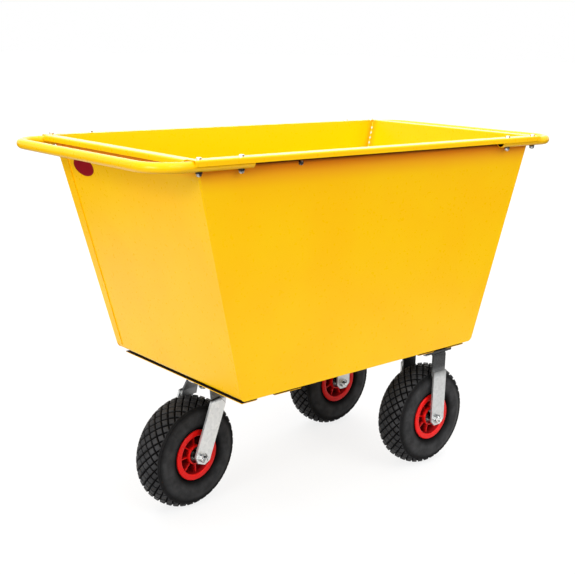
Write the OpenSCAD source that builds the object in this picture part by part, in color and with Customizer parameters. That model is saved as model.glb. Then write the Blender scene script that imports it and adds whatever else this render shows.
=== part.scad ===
// Three-wheeled tub cart: an open sheet-steel tub with a tube handle at each end,
// one swivel caster under the front end and two fixed casters under the rear end.
// Millimetres, +Z up. Front is -X, left is -Y. The origin is on the ground under the middle.

/* [Tub] */
// Length over the end walls at the rim
tub_top_len = 1022; // [900:1:1200]
// Width over the side panels at the rim
tub_top_wid = 543; // [520:1:620]
// Length over the end walls at the floor
tub_floor_len = 740; // [700:1:860]
// Width over the side panels at the floor
tub_floor_wid = 486; // [470:1:515]
// Height from the underside of the floor to the top of the rim
tub_depth = 517.5; // [400:0.5:650]
// Thickness of the tub's sheet steel
sheet_t = 2; // [1.5:0.1:3]
// Outside radius of the bend from the floor to an end wall
floor_bend_r = 12; // [6:1:20]
// Middle radius of the bends at the rim
rim_bend_r = 3; // [2:0.5:4]
// Width of the rim flange outside the walls
flange_w = 25; // [24:0.5:40]
// Height of the lip turned down from the flange
lip_h = 12; // [10:0.5:20]
// Reach of the side flanges past the end walls
ear_reach = 16; // [10:1:24]
// Width of the side panels' lap strips at the rim
lap_top_w = 32; // [20:1:50]
// Width of the side panels' lap strips at the floor
lap_floor_w = 20; // [12:1:40]
// Gap from the lap strips to the rim flange
lap_drop = 8; // [4:1:20]

/* [Handles] */
// Outside diameter of the handle tube
tube_d = 21.3; // [16:0.1:22]
// Wall of the handle tube
tube_wall = 2; // [1.5:0.1:3]
// Distance from the end wall's rim to the middle of the handle's cross bar
handle_reach = 97; // [70:1:140]
// Middle radius of the handle's two bends
handle_bend_r = 63; // [40:1:80]
// Length of a handle's arms from the end wall's rim inwards
handle_arm_len = 126; // [115:1:200]
// Distance between the two bolts of an arm
handle_bolt_pitch = 100; // [60:1:110]
// Bolt diameter
handle_bolt_d = 6; // [5:1:8]

/* [Side bolt] */
// Position of the small bolt along the left side panel
side_bolt_x = -250; // [-340:1:-150]
// Drop of the small bolt below the rim
side_bolt_drop = 22; // [18:1:60]

/* [Badge] */
// Width of the oval badge
badge_w = 84; // [50:1:110]
// Height of the oval badge
badge_h = 44; // [30:1:60]
// Thickness of the badge
badge_t = 0.8; // [0.5:0.1:2]
// Distance of the badge from the middle of the front wall
badge_y = 172; // [0:1:175]
// Drop of the badge's middle below the rim
badge_drop = 62; // [50:1:120]

/* [Cross members] */
// Width of a cross member along the cart
member_w = 167; // [150:1:200]
// Width of its raised middle, which is welded to the tub floor
member_rise_w = 50; // [46:1:52]
// Depth of a cross member
member_h = 11; // [11:0.5:30]
// Thickness of a cross member
member_t = 2.5; // [2:0.1:3]
// Middle radius of a cross member's bends
member_bend_r = 3.5; // [2.5:0.5:4]
// Distance from the end of the tub floor to a cross member
member_inset = 10; // [0:1:30]

/* [Wheels] */
// Outside diameter of the tyres
tyre_d = 260; // [240:1:300]
// Width of the tyres
tyre_w = 88; // [82:1:92]
// Thickness of the tyre's sidewall
tyre_wall = 6; // [4:0.5:8]
// Width of the hollow in the sidewall round a rim flange
tyre_hollow_w = 11; // [8:0.5:14]
// Outside diameter of the rim's flanges
rim_flange_d = 120; // [114:1:126]
// Diameter of the rim's barrel
rim_barrel_d = 96; // [92:1:100]
// Width over the rim's flanges
rim_w = 78; // [72:1:80]
// Thickness of the rim's flanges
rim_flange_t = 5.5; // [4:0.5:7]
// Number of ribs on each side of a rim
rib_count = 8; // [6:1:12]
// Thickness of the ribs
rib_t = 4; // [3:0.5:6]
// Angle that the front wheel has rolled on
front_wheel_turn = 18; // [0:1:90]
// Angle that the left wheel has rolled on
left_wheel_turn = 32; // [0:1:90]
// Outside diameter of the hub
hub_d = 46; // [42:1:52]
// Width of the hub
hub_w = 74; // [66:1:82]
// Outside diameter of the wheel bearings
bearing_d = 28; // [24:1:32]
// Width of the wheel bearings
bearing_w = 8; // [6:1:10]
// Depth of the hub's recess in front of the bearings
hub_recess = 6; // [3:1:8]
// Diameter of the axle bolts
axle_d = 12; // [10:1:14]

/* [Forks] */
// Thickness of the fork strip
fork_t = 5; // [4:0.5:6]
// Width of the fork strip
fork_w = 46; // [42:1:50]
// Clearance between the tyre and a fork arm
tyre_side_gap = 8; // [5:0.5:14]
// Clearance between the tyre and the fixed fork's crown
crown_gap = 41; // [36:1:60]
// Length of a fork leg that overlaps its arm
arm_lap = 17; // [10:1:20]
// Height of the top of the arms above the axle
arm_rise = 127; // [122:1:131]
// Distance of the fork strip's middle from the axle, along the cart
arm_shift = 3; // [0:1:4]
// Reach of the arms below the axle
arm_foot = 17; // [16:1:20]
// Size of the chamfers at the lower corners of the arms
arm_chamfer = 12; // [6:0.5:14]
// Rise of the swivel arms' pointed upper ends
arm_point = 3; // [0:1:6]
// Height of the sloping corner on the swivel arms' upper ends
arm_corner = 14; // [6:1:16]
// Width of the swivel fork's crown, above its spread legs
crown_w = 80; // [76:1:88]
// Slant of the swivel fork's legs, from the crown to the feet
leg_slant = 10; // [0:1:14]
// Distance from the kingpin back to the front axle
trail = 53; // [40:1:65]
// Angle of the swivel fork to the cart
swivel_angle = 6.6; // [-30:0.1:30]
// Thickness of the caster plates
plate_t = 6; // [4:0.5:8]
// Length of the caster plates along the cart
plate_len = 85; // [84:1:110]
// Width of the caster plates across the cart
plate_wid = 110; // [105:1:130]
// Distance between plate bolts along the cart
plate_hole_x = 72; // [71:1:74]
// Distance between plate bolts across the cart
plate_hole_y = 80; // [70:1:90]
// Diameter of the plate bolts
plate_bolt_d = 8; // [6:1:8]
// Distance from the front end of the tub floor to the kingpin
kingpin_inset = 75; // [65:1:110]
// Distance from the rear end of the tub floor to the rear axles
rear_axle_inset = 97; // [70:1:120]
// Distance between the middles of the rear wheels
rear_track = 346; // [330:1:360]

/* [Swivel head] */
// Kingpin diameter
kingpin_d = 12; // [10:1:14]
// Height of the swivel head between plate and crown
head_h = 16; // [14:1:20]
// Diameter of the balls
ball_d = 8; // [6:0.5:9]
// Number of balls
ball_count = 16; // [8:1:18]
// Diameter of the ring of balls
ball_ring_d = 52; // [48:1:56]
// Width of the races
race_w = 12; // [9:1:14]
// Thickness of the cover around the balls
cover_t = 2; // [1:0.5:3]

/* [Clearances] */
// Radial clearance of the bolts in plain holes
bolt_clear = 0.3; // [0.1:0.05:0.5]
// Radial clearance of turning or threaded fits
turn_clear = 0.07; // [0.03:0.01:0.1]
// Gap between pieces that only lie against a curved face
seat_gap = 0.1; // [0.05:0.05:0.3]
// Side clearance of turning pieces
side_clear = 0.2; // [0.1:0.1:0.5]

/* [Hidden] */
$fn = 64;
yellow = "#f5b800";
zinc = "#c9ccd0";
rubber = "#26262a";
red = "#d8201c";

// Heights, from the ground up
axle_z = tyre_d / 2;
fixed_crown_z = tyre_d + crown_gap;
plate_z = fixed_crown_z + fork_t;
member_z = plate_z + plate_t;
floor_z = member_z + member_h;
rim_z = floor_z + tub_depth;
swivel_crown_z = plate_z - head_h - fork_t;
arm_top_z = axle_z + arm_rise;
leg_foot_z = arm_top_z - arm_lap;

// Lean of the walls, as run over rise and as an angle
end_run = (tub_top_len - tub_floor_len) / 2 / tub_depth;
side_run = (tub_top_wid - tub_floor_wid) / 2 / tub_depth;
end_lean = atan(end_run);
side_lean = atan(side_run);
end_skin = sheet_t / cos(end_lean);
side_skin = sheet_t / cos(side_lean);
flange_end_x = tub_top_len / 2 + flange_w;
flange_side_y = tub_top_wid / 2 + flange_w;
ear_x = tub_top_len / 2 + ear_reach;
overcut = 2;

// Handles lie under the side flanges, midway between the panel and the lip
handle_y = tub_top_wid / 2 + (flange_w - sheet_t) / 2;
handle_z = rim_z - sheet_t - seat_gap - tube_d / 2;
handle_bar_x = tub_top_len / 2 + handle_reach;
handle_end_x = tub_top_len / 2 - handle_arm_len;
handle_bolt_xs = [tub_top_len / 2, tub_top_len / 2 - handle_bolt_pitch];
tube_foot_z = handle_z - tube_d / 2;

// Hexagon and washer sizes follow the bolt's diameter
function hex_across(d) = 1.5 * d + 1;
function head_high(d) = 0.65 * d;
function nut_high(d) = 0.82 * d;
function bolt_tip(d) = 0.3 * d;
washer_t = 2.5;

// Fork and wheel sizes
arm_in = tyre_w / 2 + tyre_side_gap;
arm_out = arm_in + fork_t;
leg_mid = arm_in - fork_t / 2;
leg_bend_r = 1.4 * fork_t;
kingpin_x = kingpin_inset - tub_floor_len / 2;
rear_axle_x = tub_floor_len / 2 - rear_axle_inset;
rear_y = rear_track / 2;
tyre_mid_r = 0.34 * tyre_d;
tyre_power = 2.5;
bead_clear = 0.3;
bead_w = 6.5;
rim_foot_y = rim_w / 2 - rim_flange_t;
rim_barrel_r = rim_barrel_d / 2;
rim_skin = 3;
web_half = 4;
rib_out = rim_foot_y - 3;
tube_skin = 2.5;
valve_y = -14;
valve_d = 7;
valve_foot_r = 28;
bearing_out = hub_w / 2 - hub_recess;
bearing_in = bearing_out - bearing_w;
sleeve_d = axle_d + 5;
hub_bore_d = sleeve_d + 4;
recess_d = bearing_d + 6;
spacer_d = axle_d + 6;

// Sheet-metal outlines: a path of the sheet's middle, with each corner bent to a radius
function heading(a, b) = atan2(b.y - a.y, b.x - a.x);
function half_turn(w) = w > 180 ? w - 360 : w < -180 ? w + 360 : w;
function turn_angle(a, b, c) = half_turn(heading(b, c) - heading(a, b));
function bend(p, i, r, n = 8) =
    let (
        h0 = heading(p[i - 1], p[i]),
        w = turn_angle(p[i - 1], p[i], p[i + 1]),
        start = p[i] - r * tan(abs(w) / 2) * [cos(h0), sin(h0)],
        middle = start + sign(w) * r * [-sin(h0), cos(h0)]
    )
    [for (k = [0:n]) let (h = h0 + w * k / n) [middle + sign(w) * r * [sin(h), -cos(h)], h]];
function bent_path(p, radii) = concat(
    [[p[0], heading(p[0], p[1])]],
    [for (i = [1:len(p) - 2]) each bend(p, i, radii[i - 1])],
    [[p[len(p) - 1], heading(p[len(p) - 2], p[len(p) - 1])]]
);
function sheet_side(path, off) = [for (q = path) q[0] + off * [-sin(q[1]), cos(q[1])]];
function flipped(v) = [for (i = [len(v) - 1:-1:0]) v[i]];
function sheet_outline(p, radii, t) =
    let (path = bent_path(p, radii))
    concat(sheet_side(path, t / 2), flipped(sheet_side(path, -t / 2)));
function rounded(p, radii) = [for (q = bent_path(p, radii)) q[0]];

// Positions on the outer faces of the walls at height z
function end_x(z) = tub_floor_len / 2 + (z - floor_z) * end_run;
function side_y(z) = tub_floor_wid / 2 + (z - floor_z) * side_run;

// Extrude an X-Z outline across the cart, or a Y-Z outline along it
module across(w) {
    rotate([90, 0, 0]) linear_extrude(w, center = true) children();
}
module along(l) {
    rotate([90, 0, 90]) linear_extrude(l, center = true) children();
}
module both_ways() {
    children();
    mirror([1, 0, 0]) children();
}

// Tub

pan_half = [
    [end_x(floor_z + sheet_t / 2) - end_skin / 2, floor_z + sheet_t / 2],
    [end_x(rim_z - sheet_t / 2) - end_skin / 2, rim_z - sheet_t / 2],
    [flange_end_x - sheet_t / 2, rim_z - sheet_t / 2],
    [flange_end_x - sheet_t / 2, rim_z - lip_h]
];
floor_mid_r = floor_bend_r - sheet_t / 2;
pan_radii = [rim_bend_r, rim_bend_r, floor_mid_r, floor_mid_r, rim_bend_r, rim_bend_r];

module tub_pan() {
    path = concat([for (q = flipped(pan_half)) [-q.x, q.y]], pan_half);
    inner_foot = side_y(floor_z - overcut) - side_skin;
    inner_top = side_y(rim_z + overcut) - side_skin;
    color(yellow) intersection() {
        across(tub_top_wid) polygon(sheet_outline(path, pan_radii, sheet_t));
        along(2 * flange_end_x + overcut) polygon([
            [-inner_foot, floor_z - overcut],
            [inner_foot, floor_z - overcut],
            [inner_top, rim_z + overcut],
            [-inner_top, rim_z + overcut]
        ]);
    }
}

// The panel is drawn on the +Y side: its wall, its rim over the whole length, its lap strips
module panel_wall() {
    foot = [side_y(floor_z) - side_skin / 2, floor_z];
    top = [side_y(rim_z - sheet_t / 2) - side_skin / 2, rim_z - sheet_t / 2];
    edge = [flange_side_y - sheet_t / 2, rim_z - sheet_t / 2];
    lip = [flange_side_y - sheet_t / 2, rim_z - lip_h];
    end_foot = [end_x(floor_z) + end_skin, floor_z];
    end_top = [end_x(rim_z) + end_skin, rim_z];
    corner_r = floor_bend_r + sheet_t;
    intersection() {
        along(2 * flange_end_x)
            polygon(sheet_outline([foot, top, edge, lip], [rim_bend_r, rim_bend_r], sheet_t));
        across(2 * flange_side_y + overcut) polygon(rounded(
            [[-end_top.x, end_top.y], [-end_foot.x, end_foot.y], end_foot, end_top],
            [corner_r, corner_r]
        ));
    }
}
module panel_rim() {
    inner = [side_y(rim_z) - side_skin, rim_z - sheet_t / 2];
    edge = [flange_side_y - sheet_t / 2, rim_z - sheet_t / 2];
    lip = [flange_side_y - sheet_t / 2, rim_z - lip_h];
    along(2 * ear_x) polygon(sheet_outline([inner, edge, lip], [rim_bend_r], sheet_t));
}
module lap_strip() {
    low = floor_z + floor_bend_r;
    high = rim_z - sheet_t - lap_drop;
    intersection() {
        across(2 * flange_side_y) polygon([
            [end_x(low), low],
            [end_x(low) + end_skin, low],
            [end_x(high) + end_skin, high],
            [end_x(high), high]
        ]);
        translate([flange_end_x / 2, 0, 0]) along(flange_end_x) polygon([
            [side_y(low) - side_skin - lap_floor_w, low],
            [side_y(low) - side_skin / 2, low],
            [side_y(high) - side_skin / 2, high],
            [side_y(high) - side_skin - lap_top_w, high]
        ]);
    }
}
module panel_holes() {
    for (x = handle_bolt_xs)
        both_ways() translate([x, handle_y, rim_z - sheet_t - overcut])
            cylinder(d = handle_bolt_d + 2 * bolt_clear, h = sheet_t + 2 * overcut);
}
module side_panel() {
    difference() {
        union() {
            panel_wall();
            panel_rim();
            both_ways() lap_strip();
        }
        panel_holes();
    }
}
module left_side_panel() {
    color(yellow) difference() {
        mirror([0, 1, 0]) side_panel();
        on_left_side() translate([0, 0, -sheet_t - overcut])
            cylinder(d = handle_bolt_d + 2 * bolt_clear, h = sheet_t + 2 * overcut);
    }
}
module right_side_panel() {
    color(yellow) side_panel();
}

// Local +Z is the outward normal of the left panel, or of the front wall
module on_left_side() {
    z = rim_z - side_bolt_drop;
    translate([side_bolt_x, -side_y(z), z]) rotate([90 + side_lean, 0, 0]) children();
}
module on_front_wall(y, z) {
    translate([-end_x(z), y, z]) rotate([0, -90 - end_lean, 0]) children();
}
module badge_plate() {
    steps = 48;
    color("#7c1418") on_front_wall(badge_y, rim_z - badge_drop) linear_extrude(badge_t) polygon([
        for (k = [0:steps - 1]) let (a = 360 * k / steps) [badge_h / 2 * cos(a), badge_w / 2 * sin(a)]
    ]);
}

// Cross members: hat sections under the floor. The raised middle is welded to the floor over the middle
// of the casters, and the two brims carry the caster plates.

module plate_pattern() {
    for (x = [-1, 1])
        for (y = [-1, 1])
            translate([x * plate_hole_x / 2, y * plate_hole_y / 2, 0]) children();
}
module plate_holes() {
    plate_pattern() translate([0, 0, plate_z - overcut])
        cylinder(d = plate_bolt_d + 2 * bolt_clear, h = plate_t + member_t + 2 * overcut);
}
function hat_path(from_x, to_x, mid_x) =
    let (
        low = member_z + member_t / 2,
        high = floor_z - member_t / 2,
        near = mid_x - (member_rise_w - member_t) / 2,
        far = mid_x + (member_rise_w - member_t) / 2
    )
    [[from_x, low], [near, low], [near, high], [far, high], [far, low], [to_x, low]];
module cross_member(to_x, mid_x) {
    across(rear_track + plate_wid) polygon(sheet_outline(
        hat_path(to_x - member_w, to_x, mid_x),
        [for (i = [1:4]) member_bend_r],
        member_t
    ));
}
member_end_x = tub_floor_len / 2 - member_inset;
module front_cross_member() {
    color(yellow) difference() {
        mirror([1, 0, 0]) cross_member(member_end_x, -kingpin_x);
        translate([kingpin_x, 0, 0]) plate_holes();
    }
}
module rear_cross_member() {
    color(yellow) difference() {
        cross_member(member_end_x, rear_axle_x);
        at_rear_casters() plate_holes();
    }
}

// Handles

module tube_run(d) {
    bend_x = handle_bar_x - handle_bend_r;
    bend_y = handle_y - handle_bend_r;
    for (s = [-1, 1]) {
        translate([handle_end_x, s * handle_y, handle_z]) rotate([0, 90, 0])
            cylinder(d = d, h = bend_x - handle_end_x);
        translate([bend_x, s * bend_y, handle_z]) rotate([0, 0, s > 0 ? 0 : -90])
            rotate_extrude(angle = 90) translate([handle_bend_r, 0]) circle(d = d);
    }
    translate([handle_bar_x, bend_y, handle_z]) rotate([90, 0, 0]) cylinder(d = d, h = 2 * bend_y);
}
module handle() {
    difference() {
        tube_run(tube_d);
        tube_run(tube_d - 2 * tube_wall);
        for (x = handle_bolt_xs)
            for (s = [-1, 1])
                translate([x, s * handle_y, tube_foot_z - overcut])
                    cylinder(d = handle_bolt_d + 2 * bolt_clear, h = tube_d + 2 * overcut);
    }
}
module front_handle() {
    color(yellow) mirror([1, 0, 0]) handle();
}
module rear_handle() {
    color(yellow) handle();
}

// Fasteners: a bolt hangs from the underside of its head at z = 0, a nut sits on z = 0

module hex(d, h) {
    cylinder(d = hex_across(d) / cos(30), h = h, $fn = 6);
}
module bolt(d, l) {
    hex(d, head_high(d));
    translate([0, 0, -l]) cylinder(d = d, h = l + head_high(d) / 2);
}
module nut(d) {
    difference() {
        hex(d, nut_high(d));
        translate([0, 0, -overcut]) cylinder(d = d + 2 * turn_clear, h = nut_high(d) + 2 * overcut);
    }
}
module at_handle_bolts() {
    for (x = handle_bolt_xs)
        for (sx = [-1, 1])
            for (sy = [-1, 1])
                translate([sx * x, sy * handle_y, 0]) children();
}
handle_stack = rim_z - tube_foot_z + seat_gap + washer_t;
module handle_bolts() {
    l = handle_stack + nut_high(handle_bolt_d) + bolt_tip(handle_bolt_d);
    color(zinc) at_handle_bolts() translate([0, 0, rim_z]) bolt(handle_bolt_d, l);
}
module handle_washers() {
    color("#2c2c2e") at_handle_bolts() translate([0, 0, rim_z - handle_stack]) difference() {
        cylinder(d = 2 * handle_bolt_d + 1, h = washer_t);
        translate([0, 0, -overcut])
            cylinder(d = handle_bolt_d + 2 * turn_clear, h = washer_t + 2 * overcut);
    }
}
module handle_nuts() {
    color(zinc) at_handle_bolts() translate([0, 0, rim_z - handle_stack])
        rotate([180, 0, 0]) nut(handle_bolt_d);
}
module side_bolt() {
    l = sheet_t + nut_high(handle_bolt_d) + bolt_tip(handle_bolt_d);
    color(zinc) on_left_side() translate([0, 0, -sheet_t]) rotate([180, 0, 0]) bolt(handle_bolt_d, l);
}
module side_nut() {
    color(zinc) on_left_side() nut(handle_bolt_d);
}

// Casters

module at_rear_casters() {
    for (s = [-1, 1]) at_rear_caster(s) children();
}
module at_rear_caster(s) {
    translate([rear_axle_x, s * rear_y, 0]) children();
}
module at_kingpin() {
    translate([kingpin_x, 0, 0]) children();
}
module at_swivel_fork() {
    at_kingpin() rotate([0, 0, swivel_angle]) children();
}
module caster_plate() {
    translate([-plate_len / 2, -plate_wid / 2, plate_z]) cube([plate_len, plate_wid, plate_t]);
}
// Two arms with the same X-Z outline, outside the legs, cut off square under the axle
module fork_arms() {
    for (s = [-1, 1]) translate([0, s * (arm_in + fork_t / 2), 0]) across(fork_t) children();
}
module arm_end(x, slant = 0) {
    half = fork_w / 2;
    flat = half - arm_chamfer;
    translate([x, axle_z]) rotate(-slant) polygon([
        [-half, 0],
        [-half, arm_chamfer - arm_foot],
        [-flat, -arm_foot],
        [flat, -arm_foot],
        [half, arm_chamfer - arm_foot],
        [half, 0]
    ]);
}
module axle_hole(x) {
    translate([x, 0, axle_z]) rotate([90, 0, 0])
        cylinder(d = axle_d + 2 * bolt_clear, h = 2 * arm_out + overcut, center = true);
}
module fixed_crown() {
    top = fixed_crown_z + fork_t / 2;
    along(fork_w) polygon(sheet_outline(
        [[-leg_mid, leg_foot_z], [-leg_mid, top], [leg_mid, top], [leg_mid, leg_foot_z]],
        [leg_bend_r, leg_bend_r],
        fork_t
    ));
}
module fixed_fork() {
    color(zinc) difference() {
        union() {
            caster_plate();
            translate([arm_shift, 0, 0]) {
                fixed_crown();
                fork_arms() union() {
                    arm_end(0);
                    translate([-fork_w / 2, axle_z]) square([fork_w, arm_rise]);
                }
            }
        }
        plate_holes();
        axle_hole(0);
    }
}
module left_fixed_fork() {
    at_rear_caster(-1) fixed_fork();
}
module right_fixed_fork() {
    at_rear_caster(1) fixed_fork();
}

// Swivel head: races above and below the balls, the kingpin through the middle
kingpin_head_d = 2 * kingpin_d;
kingpin_head_t = 4;
race_t = (head_h - ball_d) / 2;
kingpin_washer_t = 2.5;
kingpin_foot_z = swivel_crown_z - kingpin_washer_t;
module ring(d_out, d_in, h) {
    difference() {
        cylinder(d = d_out, h = h);
        translate([0, 0, -overcut]) cylinder(d = d_in, h = h + 2 * overcut);
    }
}
module race() {
    ring(ball_ring_d + race_w, ball_ring_d - race_w, race_t);
}
module swivel_plate() {
    color(zinc) at_kingpin() difference() {
        union() {
            caster_plate();
            translate([0, 0, plate_z - race_t]) race();
        }
        plate_holes();
        translate([0, 0, plate_z - overcut])
            cylinder(d = kingpin_d + 2 * turn_clear, h = plate_t + 2 * overcut);
    }
}
module race_cover() {
    inner = ball_ring_d + race_w + 1;
    color("#8d9094") at_kingpin() translate([0, 0, plate_z - head_h + 1])
        ring(inner + 2 * cover_t, inner, head_h - 1);
}
module swivel_balls() {
    color("#a8abb0") at_kingpin() for (k = [0:ball_count - 1])
        rotate([0, 0, 360 * k / ball_count])
            translate([ball_ring_d / 2, 0, plate_z - head_h / 2])
                sphere(d = ball_d - 2 * seat_gap, $fn = 24);
}
module kingpin() {
    foot = kingpin_foot_z - nut_high(kingpin_d) - bolt_tip(kingpin_d);
    color(zinc) at_kingpin() union() {
        translate([0, 0, member_z]) cylinder(d = kingpin_head_d, h = kingpin_head_t);
        translate([0, 0, foot]) cylinder(d = kingpin_d, h = member_z + kingpin_head_t / 2 - foot);
    }
}
module kingpin_washer() {
    color(zinc) at_kingpin() translate([0, 0, kingpin_foot_z])
        ring(2 * kingpin_d, kingpin_d + 2 * turn_clear, kingpin_washer_t - side_clear);
}
module kingpin_nut() {
    color(zinc) at_kingpin() translate([0, 0, kingpin_foot_z]) rotate([180, 0, 0]) nut(kingpin_d);
}
// The legs spread from the crown down to the arms and slant back on their way
module swivel_crown() {
    half = fork_w / 2;
    crown_mid = (crown_w - fork_t) / 2;
    top = swivel_crown_z + fork_t / 2;
    spread = [
        [-leg_mid, leg_foot_z],
        [-leg_mid, arm_top_z],
        [-crown_mid, top],
        [crown_mid, top],
        [leg_mid, arm_top_z],
        [leg_mid, leg_foot_z]
    ];
    intersection() {
        along(2 * arm_out) polygon(sheet_outline(spread, [for (i = [1:4]) leg_bend_r], fork_t));
        across(2 * arm_out) polygon([
            [-half, leg_foot_z],
            [half, leg_foot_z],
            [half + leg_slant, swivel_crown_z],
            [half + leg_slant, plate_z],
            [leg_slant - half, plate_z],
            [leg_slant - half, swivel_crown_z]
        ]);
    }
}
// The arms slant back from the legs to the axle, with pointed upper ends
arm_run = (trail - arm_shift) / arm_rise;
arm_stretch = sqrt(1 + arm_run * arm_run);
function arm_edge(z, side) = [
    (z - arm_top_z) * arm_run + side * fork_w / 2 * arm_stretch,
    z
];
// Where the strip's edge runs into the round of its lower end
function arm_heel(side) = arm_edge(axle_z - side * fork_w / 2 * arm_run / arm_stretch, side);
module swivel_arm_outline() {
    arm_end(arm_shift - trail, atan(arm_run));
    polygon([
        arm_heel(-1),
        arm_heel(1),
        arm_edge(arm_top_z - arm_corner, 1),
        [arm_shift, arm_top_z + arm_point],
        arm_edge(arm_top_z, -1)
    ]);
}
module swivel_fork() {
    color(zinc) at_swivel_fork() difference() {
        union() {
            swivel_crown();
            translate([0, 0, swivel_crown_z + fork_t]) race();
            fork_arms() swivel_arm_outline();
        }
        translate([0, 0, swivel_crown_z - overcut])
            cylinder(d = kingpin_d + 2 * turn_clear, h = fork_t + 2 * overcut);
        axle_hole(-trail);
    }
}

// Caster bolts come up through the plates, with nuts on the cross members' brims
module at_plates() {
    at_kingpin() plate_pattern() children();
    at_rear_casters() plate_pattern() children();
}
module plate_bolts() {
    l = plate_t + member_t + nut_high(plate_bolt_d) + bolt_tip(plate_bolt_d) / 2;
    color(zinc) at_plates() translate([0, 0, plate_z]) rotate([180, 0, 0]) bolt(plate_bolt_d, l);
}
module plate_nuts() {
    color(zinc) at_plates() translate([0, 0, member_z + member_t]) nut(plate_bolt_d);
}

// Wheels: drawn about the Y axis at the origin, then placed on an axle

module at_axle(which) {
    if (which == "front") at_swivel_fork() translate([-trail, 0, axle_z]) children();
    if (which == "left") at_rear_caster(-1) translate([0, 0, axle_z]) children();
    if (which == "right") at_rear_caster(1) translate([0, 0, axle_z]) children();
}
function wheel_turn(which) =
    which == "front" ? front_wheel_turn :
    which == "left" ? left_wheel_turn :
    0;
module about_axle() {
    rotate([-90, 0, 0]) children();
}
module axle_bolt(which) {
    l = 2 * arm_out + nut_high(axle_d) + bolt_tip(axle_d);
    color(zinc) at_axle(which) translate([0, arm_out, 0]) about_axle() bolt(axle_d, l);
}
module axle_nut(which) {
    color(zinc) at_axle(which) translate([0, -arm_out, 0]) rotate([90, 0, 0]) nut(axle_d);
}
module axle_spacers(which) {
    gap = bearing_out + side_clear;
    bore = axle_d + 2 * turn_clear;
    sleeve_half = bearing_in - side_clear;
    color(zinc) at_axle(which) about_axle() {
        translate([0, 0, gap]) ring(spacer_d, bore, arm_in - gap);
        translate([0, 0, -arm_in]) ring(spacer_d, bore, arm_in - gap);
        translate([0, 0, -sleeve_half]) ring(sleeve_d, bore, 2 * sleeve_half);
    }
}
module bearings(which) {
    color("#9fa3a8") at_axle(which) about_axle() for (z = [bearing_in, -bearing_out])
        translate([0, 0, z]) ring(bearing_d, axle_d + 2 * turn_clear, bearing_w);
}

// Half of the rim's revolved section, as radius and distance from the middle
module rim_section() {
    seat_r = bearing_d / 2 + seat_gap / 2;
    edge = rim_w / 2;
    flange_r = rim_flange_d / 2;
    soft = rim_flange_t / 3;
    inner_r = rim_barrel_r - rim_skin;
    polygon([
        [hub_bore_d / 2, 0],
        [hub_bore_d / 2, bearing_in],
        [seat_r, bearing_in],
        [seat_r, bearing_out],
        [recess_d / 2, bearing_out],
        [recess_d / 2, hub_w / 2],
        [hub_d / 2, hub_w / 2],
        [hub_d / 2, web_half],
        [inner_r, web_half],
        [inner_r, edge],
        [flange_r - soft, edge],
        [flange_r, edge - soft],
        [flange_r, rim_foot_y + soft],
        [flange_r - soft, rim_foot_y],
        [rim_barrel_r, rim_foot_y],
        [rim_barrel_r, 0]
    ]);
}
module rim(which) {
    color(red) at_axle(which) rotate([0, wheel_turn(which), 0]) difference() {
        union() {
            about_axle() for (s = [0, 1]) mirror([0, 0, s]) rotate_extrude() rim_section();
            for (k = [0:rib_count - 1])
                rotate([0, 360 * (k + 0.5) / rib_count + 90, 0]) rim_ribs();
        }
        valve(valve_d + 4 * bolt_clear);
    }
}
// A pair of ribs from the hub to the barrel, one on each face of the web
module rim_ribs() {
    from_r = hub_d / 2 - 1;
    to_r = rim_barrel_r - rim_skin / 2;
    for (s = [-1, 1])
        translate([from_r, s > 0 ? 0 : -rib_out, -rib_t / 2]) cube([to_r - from_r, rib_out, rib_t]);
}
module valve(d) {
    translate([0, valve_y, valve_foot_r]) cylinder(d = d, h = tube_foot_r + tube_skin - valve_foot_r);
}

// Tyre: a rounded outer shell with a hollow round each rim flange, ending in a bead behind the flange
tyre_rise = tyre_d / 2 - tyre_mid_r;
tyre_foot_r = rim_flange_d / 2 + bead_clear;
bead_out = rim_foot_y - bead_clear;
bead_foot_r = rim_barrel_r + bead_clear;
function shell_y(r, half_w, rise) =
    half_w * pow(max(0, 1 - pow(abs(r - tyre_mid_r) / rise, tyre_power)), 1 / tyre_power);
function shell(half_w, rise, from_r, n = 24) = [
    for (k = [0:n])
        let (r = from_r + (tyre_mid_r + rise - from_r) * sin(90 * k / n))
        [r, shell_y(min(r, tyre_mid_r + rise), half_w, rise)]
];
function hollow_y(p) =
    let (t = min(1, max(0, (p[0] - tyre_foot_r - 0.7) / tyre_hollow_w)))
    t < 1 ? min(p[1], bead_out + 0.2 + tyre_hollow_w * 0.87 * t * t * (3 - 2 * t)) : p[1];
module tyre(which) {
    outer = [
        for (p = shell(tyre_w / 2, tyre_rise, tyre_foot_r, 40))
            [p[0], hollow_y(p)]
    ];
    bead_in = bead_out - bead_w;
    inner = shell(tyre_w / 2 - tyre_wall, tyre_rise - tyre_wall, tyre_foot_r + tyre_wall / 2);
    half = concat(
        flipped(inner),
        [[tyre_foot_r, bead_in], [bead_foot_r, bead_in], [bead_foot_r, bead_out], [tyre_foot_r, bead_out]],
        outer
    );
    color(rubber) at_axle(which) about_axle() for (s = [0, 1])
        mirror([0, 0, s]) rotate_extrude($fn = 96) polygon(half);
}

// Inner tube: an oval ring that lies on the rim's barrel and almost fills the tyre
tube_foot_r = rim_barrel_r + 1;
tube_top_r = tyre_d / 2 - tyre_wall - 0.7;
tube_mid_r = (tube_foot_r + tube_top_r) / 2;
tube_rise = (tube_top_r - tube_foot_r) / 2;
tube_half_w = tyre_w / 2 - tyre_wall - 4.5;
function oval(w, h, n = 32) = [
    for (k = [0:n - 1]) let (a = 360 * k / n) [tube_mid_r + h * cos(a), w * sin(a)]
];
module inner_tube(which) {
    color("#3a3a3c") at_axle(which) rotate([0, wheel_turn(which), 0]) union() {
        about_axle() rotate_extrude() difference() {
            polygon(oval(tube_half_w, tube_rise));
            polygon(oval(tube_half_w - tube_skin, tube_rise - tube_skin));
        }
        valve(valve_d);
    }
}

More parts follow.
